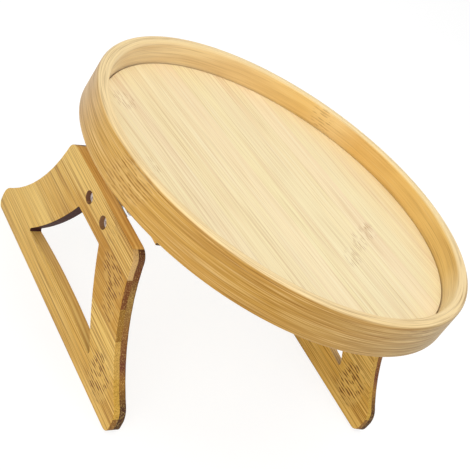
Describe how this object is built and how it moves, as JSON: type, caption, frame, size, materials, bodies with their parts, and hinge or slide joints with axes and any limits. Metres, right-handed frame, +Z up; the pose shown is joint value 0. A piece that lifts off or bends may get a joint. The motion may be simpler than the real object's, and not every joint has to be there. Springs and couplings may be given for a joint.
{
  "type": "sofa arm tray",
  "caption": "Round rimmed bamboo tray on hinged bamboo legs that straddle a sofa arm and fold flat under it; each leg is a windowed plate with hollow sides and sunk bolts.",
  "frame": {"origin": "on the ground under the centre of the round tray, with the legs standing", "axes": "+Z up; +X from the left leg to the right leg, square to the hinge pins; +Y along the hinge pins and the sofa arm"},
  "size_m": [0.3, 0.3, 0.1517],
  "materials": {
    "bamboo_rim": "satin clear lacquer on bent laminated bamboo",
    "bamboo_floor": "satin clear lacquer on pale bamboo strips",
    "bamboo_batten": "sanded bamboo",
    "bamboo_leg": "satin clear lacquer on golden bamboo strips",
    "hinge_steel": "zinc-plated steel",
    "pin_steel": "bright steel",
    "screw_steel": "zinc-plated steel"
  },
  "bodies": {
    "tray": {"tray_rim": "bamboo_rim", "tray_floor": "bamboo_floor", "left_batten": "bamboo_batten", "right_batten": "bamboo_batten", "left_batten_screws": "screw_steel", "right_batten_screws": "screw_steel", "left_fixed_leaf": "hinge_steel", "right_fixed_leaf": "hinge_steel", "left_leaf_screws": "screw_steel", "right_leaf_screws": "screw_steel", "left_hinge_pin": "pin_steel", "right_hinge_pin": "pin_steel"},
    "left_leg": {"left_leg": "bamboo_leg", "left_moving_leaf": "hinge_steel", "left_leg_bolts": "screw_steel", "left_leg_nuts": "screw_steel"},
    "right_leg": {"right_leg": "bamboo_leg", "right_moving_leaf": "hinge_steel", "right_leg_bolts": "screw_steel", "right_leg_nuts": "screw_steel"}
  },
  "joints": [
    {"name": "left_leg_fold", "type": "hinge", "parent": "tray", "child": "left_leg", "pos_m": [-0.1202, 0, 0.10868], "axis": [0, -1, 0], "range_deg": [-96.9, 83.1]},
    {"name": "right_leg_fold", "type": "hinge", "parent": "tray", "child": "right_leg", "pos_m": [0.1202, 0, 0.10868], "axis": [0, 1, 0], "range_deg": [-96.9, 83.1]}
  ]
}
